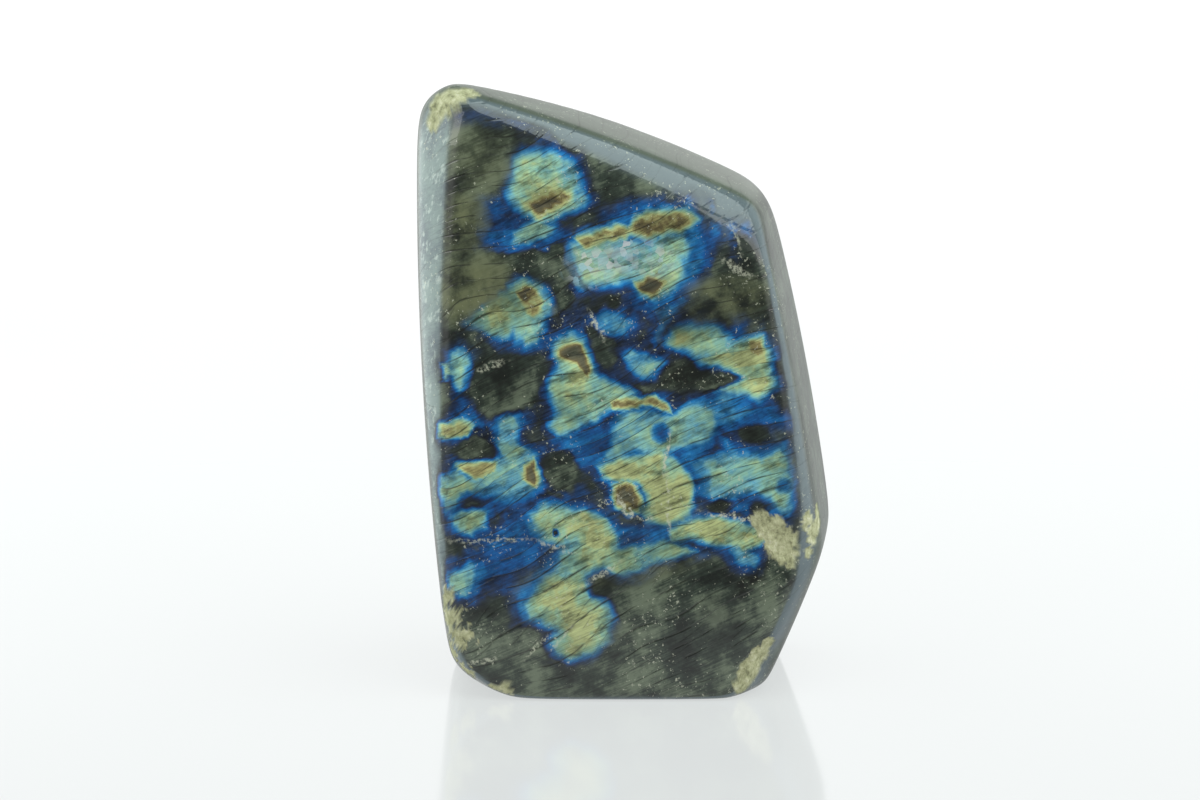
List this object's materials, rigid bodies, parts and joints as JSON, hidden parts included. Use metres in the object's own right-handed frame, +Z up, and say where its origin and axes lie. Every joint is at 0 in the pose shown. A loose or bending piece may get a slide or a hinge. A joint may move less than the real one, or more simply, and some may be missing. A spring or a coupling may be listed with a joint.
{
  "type": "polished labradorite stone",
  "caption": "Upright polished labradorite freeform with domed faces, bevelled edges, a blue and green colour flash and rough broken patches, standing on its flat sawn base.",
  "frame": {"origin": "on the sawn base, under the middle of the stone's width and depth", "axes": "+Z up, +X to the viewer's right, +Y away from the viewer, so the flashing face looks along -Y"},
  "size_m": [0.0826, 0.048, 0.1195],
  "materials": {
    "labradorite": "polished dark grey-green stone with blue, green and gold flash zones and a few rough pale breaks"
  },
  "bodies": {
    "root": {"labradorite_stone": "labradorite"}
  },
  "joints": []
}
